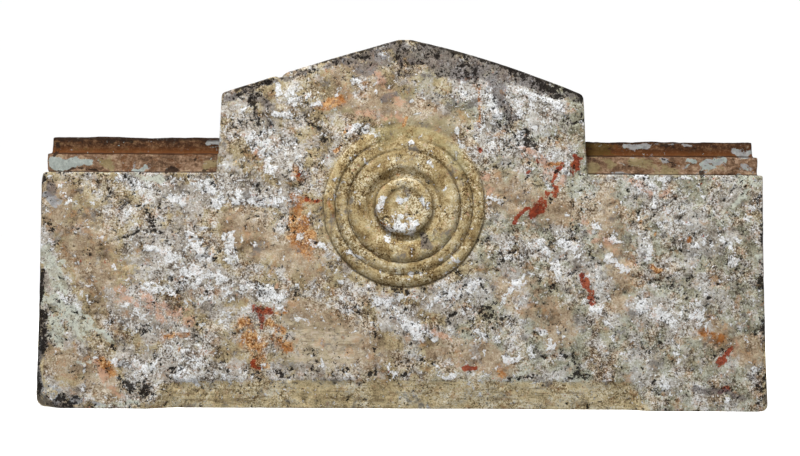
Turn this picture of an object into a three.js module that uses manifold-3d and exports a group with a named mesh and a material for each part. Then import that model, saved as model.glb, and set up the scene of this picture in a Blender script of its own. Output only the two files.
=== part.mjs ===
// A carved stone window hood, cut from one block. A long slab carries a gabled block in the middle, and
// on each side of it two low courses step back from the face. A ringed roundel stands on the block.
// Millimetres, +Z up. The face looks towards -Y, and the origin lies under the middle of the stone.

import * as THREE from "three";
import { ConvexGeometry } from "three/addons/geometries/ConvexGeometry.js";
import { mergeVertices } from "three/addons/utils/BufferGeometryUtils.js";
import Module from "manifold-3d";

// The slab
const slabWidth = 1200; // at its widest, low down on the ends
const stoneDepth = 200; // from the face back to the wall
const faceHeight = 385; // from the underside up to the first step
const endLean = 12; // how far each end draws in towards the top of the face
const endHollow = 3; // how far each end is hollowed below a straight line
const arris = 3; // rounding of the worn edges
const footWear = 9; // rounding of the bottom corners of the outline
const shoulderWear = 34; // height of the worn corner at the top of the left end

// The two courses that step back on each wing
const lowerCourseHeight = 30;
const upperCourseHeight = 26;
const courseSetback = 16; // each course stands this far behind what is below it
const courseReturn = 5; // and stops this far short of it at the ends
const courseBatter = 2; // how far a course leans back over its height
const courseRoot = 20; // how far its solid runs down into the stone below

// The centre block and its gable
const blockWidth = 602; // at the foot of its cheeks
const cheekLean = 6; // how far each cheek leans in by the eaves
const cheekHeight = 76; // from the top of the courses up to the eaves
const gableRise = 86; // from the eaves up to the ridge
const gableCrown = 5; // how far the two slopes swell over a straight line
const ridgeOffset = 4; // the ridge lies this far right of the middle
const ridgeFlat = 22; // width of the ridge that is worn level
const eavesWear = 8; // rounding of the corner at the eaves
const notchOffset = 199; // the chip in the left slope, measured from the middle
const notchWidth = 11;
const notchDepth = 7;

// The roundel, from its middle outwards
const roundelOffset = 3; // its centre lies this far right of the middle
const roundelDrop = 271; // and this far below the ridge
const dishRadius = 27;
const dishLift = 4; // the floor of the dish above the face
const rimWidth = 20; // the raised rim around the dish
const bossLift = 9;
const grooveWidth = 14;
const grooveDepth = 3; // below the face
const pillowWidth = 32; // the broad rounded band
const pillowLift = 8;
const ringCount = 2;
const ringWidth = 20;
const ringLift = 6;
const creaseLift = 1; // the sharp creases between the rings, above the face
const ringRise = 4; // the short steep side of a ring, towards the middle
const borderWidth = 4; // the fine groove around the outermost ring
const borderDepth = 1.5;
const wearTop = 0.4; // height that the worn top of the roundel keeps above the face
const wearReach = 110; // length over which the wear runs out, down from the top

// The chamfer under the face, stopped at both ends of the window opening
const chamferLength = 824; // along the underside
const chamferStop = 44; // length of the slope that ends it
const chamferHeight = 49;
const chamferDepth = 18;

// Broken arrises: how far each break reaches along the width, the depth and the height
const brokenCorner = new THREE.Vector3(38, 34, 46);
const brokenLeftEdge = new THREE.Vector3(21, 19, 190);
const brokenRightEdge = new THREE.Vector3(11, 9, 150);

// How finely curves are cut, and the room that a cutting solid has past what it cuts
const roundelSegments = 72;
const bandSteps = 6;
const curveSteps = 5;
const clear = 10;
const weld = 1e-3;

// Heights and depths worked out from the sizes above
const halfWidth = slabWidth / 2;
const shoulderHalf = halfWidth - endLean;
const faceY = -(stoneDepth + bossLift) / 2 + bossLift;
const backY = faceY + stoneDepth;
const lowerCourseTop = faceHeight + lowerCourseHeight;
const upperCourseTop = lowerCourseTop + upperCourseHeight;
const eavesZ = upperCourseTop + cheekHeight;
const ridgeZ = eavesZ + gableRise;
const roundelZ = ridgeZ - roundelDrop;
const bossRadius = dishRadius + rimWidth;
const pillowInner = bossRadius + grooveWidth;
const ringsInner = pillowInner + pillowWidth;
const roundelRadius = ringsInner + ringCount * ringWidth;

const wasm = await Module();
wasm.setup();

// Turns a closed geometry into a solid that can be joined and cut.
function solid(geometry) {
  const bare = geometry.index ? geometry.toNonIndexed() : geometry.clone();
  bare.deleteAttribute("normal");
  bare.deleteAttribute("uv");
  const merged = mergeVertices(bare, weld);
  const mesh = new wasm.Mesh({
    numProp: 3,
    vertProperties: merged.attributes.position.array,
    triVerts: new Uint32Array(merged.index.array),
  });
  return new wasm.Manifold(mesh);
}

// Turns a solid back into a geometry.
function geometryOf(piece) {
  const mesh = piece.getMesh();
  const geometry = new THREE.BufferGeometry();
  geometry.setAttribute("position", new THREE.BufferAttribute(mesh.vertProperties, mesh.numProp));
  geometry.setIndex(new THREE.BufferAttribute(mesh.triVerts, 1));
  geometry.computeVertexNormals();
  return geometry;
}

// The front outline of the slab and the centre block, drawn as width across and height up.
function frontOutline() {
  const cheekFoot = blockWidth / 2;
  const eavesHalf = cheekFoot - cheekLean;
  const hollowHeight = faceHeight / 2;
  const hollowHalf = halfWidth - endLean / 2 - 2 * endHollow;
  const shape = new THREE.Shape();
  shape.moveTo(-halfWidth + footWear, 0);
  shape.lineTo(halfWidth - footWear, 0);
  shape.quadraticCurveTo(halfWidth, 0, halfWidth, footWear);
  shape.quadraticCurveTo(hollowHalf, hollowHeight, shoulderHalf, faceHeight);
  shape.lineTo(cheekFoot, faceHeight);
  shape.lineTo(eavesHalf, eavesZ - eavesWear);
  gable(shape, eavesHalf);
  shape.lineTo(-cheekFoot, faceHeight);
  shape.lineTo(-shoulderHalf + courseReturn, faceHeight);
  shape.quadraticCurveTo(-shoulderHalf, faceHeight, -shoulderHalf, faceHeight - shoulderWear);
  shape.quadraticCurveTo(-hollowHalf, hollowHeight, -halfWidth, footWear);
  shape.quadraticCurveTo(-halfWidth, 0, -halfWidth + footWear, 0);
  return shape;
}

// Carries the outline over the gable, from the right eaves to the left, with the chip in the left slope.
function gable(shape, eavesHalf) {
  const slopeFoot = eavesHalf - eavesWear;
  const ridgeRight = ridgeOffset + ridgeFlat / 2;
  const ridgeLeft = ridgeOffset - ridgeFlat / 2;
  const notchRight = notchWidth / 2 - notchOffset;
  const notchLeft = -notchWidth / 2 - notchOffset;
  const heightAt = (x) => {
    const [top, foot] = x > ridgeOffset ? [ridgeRight, slopeFoot] : [ridgeLeft, -slopeFoot];
    const down = (x - top) / (foot - top);
    return ridgeZ - gableRise * down + 4 * gableCrown * down * (1 - down);
  };
  const follow = (from, to) => {
    for (let step = 1; step <= curveSteps; step += 1) {
      const x = from + ((to - from) * step) / curveSteps;
      shape.lineTo(x, heightAt(x));
    }
  };
  shape.quadraticCurveTo(eavesHalf, eavesZ, slopeFoot, eavesZ);
  follow(slopeFoot, ridgeRight);
  shape.lineTo(ridgeLeft, ridgeZ);
  follow(ridgeLeft, notchRight);
  shape.lineTo(-notchOffset, heightAt(-notchOffset) - notchDepth);
  shape.lineTo(notchLeft, heightAt(notchLeft));
  follow(notchLeft, -slopeFoot);
  shape.quadraticCurveTo(-eavesHalf, eavesZ, -eavesHalf, eavesZ - eavesWear);
}

// The slab and the centre block as one body, running past the back, where it is cut off flat.
function body() {
  const geometry = new THREE.ExtrudeGeometry(frontOutline(), {
    depth: stoneDepth + clear - arris,
    curveSegments: curveSteps,
    bevelThickness: arris,
    bevelSize: arris,
    bevelOffset: -arris,
    bevelSegments: 2,
  });
  geometry.rotateX(Math.PI / 2);
  geometry.translate(0, backY + clear, 0);
  return solid(geometry);
}

// A course that runs the whole length, drawn as depth across and height up, and swept along the width.
function course(order, foot, height) {
  const front = faceY + order * courseSetback;
  const leaned = front + courseBatter;
  const top = foot + height;
  const length = 2 * (shoulderHalf - order * courseReturn);
  const profile = new THREE.Shape();
  profile.moveTo(front, foot - courseRoot);
  profile.lineTo(backY + clear, foot - courseRoot);
  profile.lineTo(backY + clear, top);
  profile.lineTo(leaned + arris, top);
  profile.quadraticCurveTo(leaned, top, leaned, top - arris);
  profile.lineTo(front, foot);
  const sweep = { depth: length, curveSegments: curveSteps, bevelEnabled: false };
  const geometry = new THREE.ExtrudeGeometry(profile, sweep);
  const across = new THREE.Matrix4().makeBasis(
    new THREE.Vector3(0, 1, 0),
    new THREE.Vector3(0, 0, 1),
    new THREE.Vector3(1, 0, 0),
  );
  geometry.applyMatrix4(across);
  geometry.translate(-length / 2, 0, 0);
  return solid(geometry);
}

// A rounded band of the roundel, from its inner foot up over its crest and down to its outer foot.
// Each of the three is a radius and a height above the face.
function band(inner, crest, outer) {
  const points = [];
  for (let step = 0; step <= bandSteps; step += 1) {
    const turn = (Math.PI * step) / bandSteps;
    const foot = turn < Math.PI / 2 ? inner : outer;
    const radius = crest.x + (foot.x - crest.x) * Math.abs(Math.cos(turn));
    const height = foot.y + (crest.y - foot.y) * Math.sin(turn);
    points.push(new THREE.Vector2(radius, height));
  }
  return points;
}

// The roundel's section as radius and height above the face, from its middle out past its border.
function roundelSection() {
  const at = (radius, height) => new THREE.Vector2(radius, height);
  const points = [at(0, dishLift)];
  points.push(
    ...band(at(dishRadius, dishLift), at(dishRadius + rimWidth / 2, bossLift), at(bossRadius, creaseLift)),
  );
  points.push(at(bossRadius + grooveWidth / 3, -grooveDepth));
  points.push(at(bossRadius + grooveWidth / 2, -grooveDepth));
  const pillowCrest = at(pillowInner + pillowWidth / 2, pillowLift);
  points.push(...band(at(pillowInner, creaseLift), pillowCrest, at(ringsInner, creaseLift)));
  for (let ring = 1; ring <= ringCount; ring += 1) {
    const outer = ringsInner + ring * ringWidth;
    const inner = outer - ringWidth;
    const outerFoot = ring < ringCount ? creaseLift : -borderDepth;
    const rounded = band(at(inner, creaseLift), at(inner + ringRise, ringLift), at(outer, outerFoot));
    points.push(...rounded.slice(1));
  }
  points.push(at(roundelRadius + 2 * borderWidth, borderDepth));
  return points;
}

// Places a solid of revolution on the face at the roundel's centre, with its height towards the front.
function onFace(points) {
  const geometry = new THREE.LatheGeometry(points, roundelSegments);
  geometry.rotateX(Math.PI);
  geometry.translate(roundelOffset, faceY, roundelZ);
  return solid(geometry);
}

// The disc that the roundel is carved from, and the shape of the air in front of it.
function roundelDisc() {
  return onFace([
    new THREE.Vector2(0, -clear),
    new THREE.Vector2(roundelRadius, -clear),
    new THREE.Vector2(roundelRadius, bossLift + clear),
    new THREE.Vector2(0, bossLift + clear),
  ]);
}

function roundelAir() {
  const section = roundelSection();
  const edge = section[section.length - 1];
  return onFace([
    ...section,
    new THREE.Vector2(edge.x, bossLift + 2 * clear),
    new THREE.Vector2(0, bossLift + 2 * clear),
  ]);
}

// The weather has planed the top of the rings: a sloping cut that runs out above the middle.
function roundelWear() {
  const top = roundelZ + roundelRadius + borderWidth;
  const low = top - wearReach;
  const half = roundelRadius + clear;
  const points = [];
  for (const x of [roundelOffset - half, roundelOffset + half]) {
    points.push(new THREE.Vector3(x, faceY - wearTop, top));
    points.push(new THREE.Vector3(x, faceY - bossLift, low));
    points.push(new THREE.Vector3(x, faceY - bossLift - clear, low));
    points.push(new THREE.Vector3(x, faceY - bossLift - clear, top));
  }
  return solid(new ConvexGeometry(points));
}

// The stopped chamfer: a wedge under the face whose ends slope out of the stone.
function chamfer() {
  const inner = chamferLength / 2 - chamferStop;
  const past = 0.3;
  const points = [];
  for (const side of [-1, 1]) {
    points.push(new THREE.Vector3(side * inner, faceY - past * chamferDepth, (1 + past) * chamferHeight));
    points.push(new THREE.Vector3(side * inner, faceY + (1 + past) * chamferDepth, -past * chamferHeight));
    points.push(
      new THREE.Vector3(side * (inner + 2 * chamferStop), faceY - chamferDepth / 2, -chamferHeight / 2),
    );
  }
  return solid(new ConvexGeometry(points));
}

// A break that takes a front bottom corner off, along the plane through its reach on three edges.
function brokenOff(side, reach) {
  const corner = new THREE.Vector3(side * halfWidth, faceY, 0);
  const outward = new THREE.Vector3(side / reach.x, -1 / reach.y, -1 / reach.z).normalize();
  const onPlane = new THREE.Vector3(corner.x - side * reach.x, corner.y, corner.z);
  const size = 2 * faceHeight;
  const geometry = new THREE.BoxGeometry(size, size, size);
  geometry.translate(0, 0, size / 2);
  const turn = new THREE.Quaternion().setFromUnitVectors(new THREE.Vector3(0, 0, 1), outward);
  geometry.applyQuaternion(turn);
  geometry.translate(onPlane.x, onPlane.y, onPlane.z);
  return solid(geometry);
}

// The room behind the stone, which cuts it off flat where it meets the wall.
function wallSide() {
  const geometry = new THREE.BoxGeometry(slabWidth + 2 * clear, 3 * clear, 2 * ridgeZ);
  geometry.translate(0, backY + 1.5 * clear, ridgeZ / 2);
  return solid(geometry);
}

const stone = body()
  .add(course(1, faceHeight, lowerCourseHeight))
  .add(course(2, lowerCourseTop, upperCourseHeight))
  .add(roundelDisc())
  .subtract(roundelAir())
  .subtract(roundelWear())
  .subtract(chamfer())
  .subtract(brokenOff(-1, brokenCorner))
  .subtract(brokenOff(-1, brokenLeftEdge))
  .subtract(brokenOff(1, brokenRightEdge))
  .subtract(wallSide());

const limewashedStone = new THREE.MeshStandardMaterial({
  color: 0xa2977f,
  roughness: 0.92,
  metalness: 0,
});

const hood = new THREE.Mesh(geometryOf(stone), limewashedStone);
hood.name = "window_hood";

const part = new THREE.Group();
part.add(hood);

export default part;
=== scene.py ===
import math

import bmesh
import bpy
import numpy as np
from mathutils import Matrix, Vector


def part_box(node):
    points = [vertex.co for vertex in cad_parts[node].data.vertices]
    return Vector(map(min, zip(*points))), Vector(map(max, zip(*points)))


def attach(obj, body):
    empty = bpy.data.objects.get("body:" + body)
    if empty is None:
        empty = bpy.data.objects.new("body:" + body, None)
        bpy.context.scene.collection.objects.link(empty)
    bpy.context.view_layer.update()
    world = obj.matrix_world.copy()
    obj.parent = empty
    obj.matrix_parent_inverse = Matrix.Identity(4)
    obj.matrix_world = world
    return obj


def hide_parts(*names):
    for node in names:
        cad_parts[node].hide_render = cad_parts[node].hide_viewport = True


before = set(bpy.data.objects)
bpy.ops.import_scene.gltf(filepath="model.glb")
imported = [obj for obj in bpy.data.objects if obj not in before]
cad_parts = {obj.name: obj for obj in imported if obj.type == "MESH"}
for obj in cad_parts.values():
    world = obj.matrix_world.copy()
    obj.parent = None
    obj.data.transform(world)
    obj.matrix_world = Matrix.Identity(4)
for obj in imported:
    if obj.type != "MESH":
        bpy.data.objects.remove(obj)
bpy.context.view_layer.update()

# Sizes in metres, as in the part or, on the slopes and the courses, a little nearer to the photograph
NODE = "window_hood"
LOW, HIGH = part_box(NODE)
HALF_WIDTH = HIGH.x
RIDGE_Z = HIGH.z
BACK_Y = HIGH.y
STONE_DEPTH = 0.200
FACE_Y = BACK_Y - STONE_DEPTH
FACE_HEIGHT = 0.385
END_LEAN = 0.012
END_HOLLOW = 0.003
FOOT_WEAR = 0.009
SHOULDER_WEAR = 0.034
LOWER_COURSE = 0.030
UPPER_COURSE = 0.026
COURSE_SETBACK = 0.016
COURSE_RETURN = 0.005
COURSE_BATTER = 0.002
LEFT_LIFT = 0.0040
RIGHT_LIFT = 0.0005
CHEEK_FOOT = 0.301
CHEEK_LEAN = 0.006
GABLE_RISE = 0.086
LEFT_CROWN = 0.002
RIGHT_CROWN = 0.0065
RIDGE_X = 0.004
RIDGE_FLAT = 0.022
EAVES_WEAR = 0.006
NOTCH_X = -0.199
NOTCH_WIDTH = 0.011
NOTCH_DEPTH = 0.011
LEAN_FROM = 0.5
CHEEK_BLEND = 0.06
TOP_WEAR_REACH = 0.04
NOTCH_REACH = 0.09
ROUNDEL_X = 0.003
ROUNDEL_DROP = 0.271
CHAMFER_HALF = 0.412
CHAMFER_STOP = 0.044
CHAMFER_HEIGHT = 0.049
CHAMFER_DEPTH = 0.018

# Heights and widths worked out from them
SHOULDER_HALF = HALF_WIDTH - END_LEAN
LOWER_TOP = FACE_HEIGHT + LOWER_COURSE
UPPER_TOP = LOWER_TOP + UPPER_COURSE
EAVES_Z = RIDGE_Z - GABLE_RISE
ROUNDEL_Z = RIDGE_Z - ROUNDEL_DROP
EAVES_HALF = CHEEK_FOOT - CHEEK_LEAN
COURSE_HALVES = (SHOULDER_HALF - COURSE_RETURN, SHOULDER_HALF - 2 * COURSE_RETURN)

# The grid that the stone is made from, its wear, and how deep the relief and the courses' colours reach
WING_STEP = 0.0036
ROUNDEL_STEP = 0.0024
GABLE_STEP = 0.0020
ARRIS_STEPS = (0.0015, 0.0045, 0.009)
DEPTH_LINES = (0.019, 0.025, 0.036, 0.042, 0.055, 0.075, 0.1, 0.13, 0.158, 0.18, 0.193)
RELIEF_DEPTH = 0.042
LEAN_FADE = (0.05, 0.1)
FINE_HALF = 0.142
FINE_FOOT = 0.192
BACK_STEP = 0.0125
COURSE_COLOR_DEPTH = 0.08
WEAR_ROUNDS = 6

MM = 0.001

# Broken corners of the foot: which end, then width, depth and height in millimetres
BROKEN_CORNERS = ((-1, 38, 34, 46), (-1, 21, 19, 190), (1, 11, 9, 150))

# The roundel in millimetres: its radius as carved and as it measures across and upwards, where its edge
# fades into the face and how far the face sinks there, and the radii of its dish and groove
ROUNDEL_RADIUS = 133
RADIUS_ACROSS = 131.5
RADIUS_UPWARD = 131
ROUNDEL_EDGE = (128, 140)
ROUNDEL_FADE = 141
ROUNDEL_SINK = -2.2
DISH_RADIUS = 30
GROOVE = (47, 61)

# The wear at its top in metres: how high above its middle it is flat, and how far down the wear reaches
WORN_TOP = 0.135
WORN_REACH = 0.105

# Its rounded bands in millimetres: inner radius, crest, outer radius, inner foot, height and outer foot
BANDS = (
    (30, 38, 47, 5.5, 9, 1), (61, 77, 93, 1, 8, 0.5),
    (93, 98, 113, 0.5, 6.4, 0.5), (113, 118, 133, 0.5, 6.4, ROUNDEL_SINK),
)

# How the edges of stains wander: size in metres, push in millimetres and seed
WARPS = ((0.035, 7, 11), (0.012, 4, 13))

# Pits in the face: spacing in metres, share, depth in millimetres and seed
PITS = ((0.010, 0.42, 1.5, 41), (0.021, 0.34, 2.6, 44), (0.055, 0.3, 2.4, 47))
BROAD_PIT = 0.03

# Painted shade in the roundel's creases and in the groove round its boss, in millimetres: radius, width
# inwards and outwards, and strength
CREASE_SHADES = (
    (30, 1.5, 4.0, 0.15), (46.5, 0.8, 9.0, 0.7), (92.4, 3.8, 1.4, 1.0), (92.4, 12.0, 4.0, 0.5),
    (112.4, 3.6, 1.4, 0.95), (112.4, 9.0, 4.0, 0.5), (131.5, 2.4, 3.4, 0.75),
)

# Colours as they look on screen, from the darkest to the palest tone of each stone, and where they lie
BEIGE = ((58, 43, 30), (124, 108, 82), (169, 151, 115), (192, 178, 145), (220, 214, 198))
GREYISH = ((72, 64, 52), (130, 127, 107), (168, 167, 148), (192, 193, 178), (218, 219, 213))
TAN = ((82, 63, 46), (140, 119, 94), (168, 148, 122), (192, 176, 152), (224, 214, 198))
KHAKI = ((74, 53, 27), (136, 112, 72), (174, 152, 107), (202, 184, 143), (232, 224, 198))
VEIL = ((86, 76, 66), (150, 141, 130), (186, 180, 173), (211, 208, 205), (232, 234, 235))
PECKED = ((70, 56, 40), (132, 116, 92), (166, 151, 125), (192, 180, 157), (226, 219, 204))
# The chamfer's olive, paler than its own colour: painted light standing in for light bounced up onto the
# downward-facing chamfer
OLIVE_WITH_PAINTED_LIGHT = ((118, 96, 64), (242, 220, 170), (250, 244, 222))
WHITE = ((158, 154, 149), (226, 226, 224), (250, 252, 255))
BROWN = ((30, 18, 9), (72, 45, 25), (136, 104, 76))
TERRACOTTA = ((58, 40, 28), (124, 96, 73), (184, 156, 132))
RUST = ((66, 34, 16), (164, 102, 46), (236, 196, 140))
RED = ((54, 16, 14), (136, 48, 20), (176, 92, 56))
MORTAR = ((146, 140, 130), (226, 224, 218))
FIVE_TONES = (0.14, 0.34, 0.50, 0.66, 0.86)
THREE_TONES = (0.14, 0.50, 0.86)
COURSE_TONES = (0.15, 0.50, 0.85)
STAIN_TONES = (0.1, 0.5, 0.9)


def noise_hash(cells, seed):
    """A repeatable number from 0 to 1 for each row of whole numbers."""
    mixed = np.full(cells.shape[:-1], seed * 974711 & 0xFFFFFFFF, dtype=np.uint32)
    for axis, prime in zip(range(cells.shape[-1]), (374761393, 668265263, 2246822519)):
        mixed ^= cells[..., axis].astype(np.int64).astype(np.uint32) * np.uint32(prime)
        mixed = (mixed ^ (mixed >> np.uint32(15))) * np.uint32(2654435761)
    mixed ^= mixed >> np.uint32(13)
    return mixed / 4294967295.0


def value_noise(points, size, seed):
    """Smooth noise from -1 to 1 whose humps are about size wide."""
    scaled = points / size
    base = np.floor(scaled)
    part = scaled - base
    blend = part * part * (3 - 2 * part)
    total = np.zeros(len(points))
    for corner in np.ndindex(*(2,) * points.shape[1]):
        weight = np.prod(np.where(corner, blend, 1 - blend), axis=1)
        total += weight * noise_hash(base + corner, seed)
    return 2 * total - 1


def rough_noise(points, size, octaves, seed, keep=0.55):
    """Layers of noise, each at half the size of the last and keep times its strength."""
    total = np.zeros(len(points))
    strength = 1.0
    whole = 0.0
    for octave in range(octaves):
        total += strength * value_noise(points + octave * 7.31, size, seed + octave)
        whole += strength
        strength *= keep
        size *= 0.5
    return total / whole


def nearest_cell(points, size, seed):
    """Distance to the nearest of the scattered points, one in each cell, and that point's own number."""
    base = np.floor(points / size)
    best = np.full(len(points), 9.0)
    own = np.zeros(len(points))
    for step in np.ndindex(3, 3):
        cell = base + np.array(step) - 1
        inside = np.stack([noise_hash(cell, seed), noise_hash(cell, seed + 1)], axis=1)
        distance = np.linalg.norm(points / size - (cell + inside), axis=1)
        nearer = distance < best
        own = np.where(nearer, noise_hash(cell, seed + 2), own)
        best = np.minimum(best, distance)
    return best * size, own


def smooth(value, low, high):
    """Rises smoothly from 0 at low to 1 at high."""
    part = np.clip((value - low) / (high - low), 0, 1)
    return part * part * (3 - 2 * part)
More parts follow.
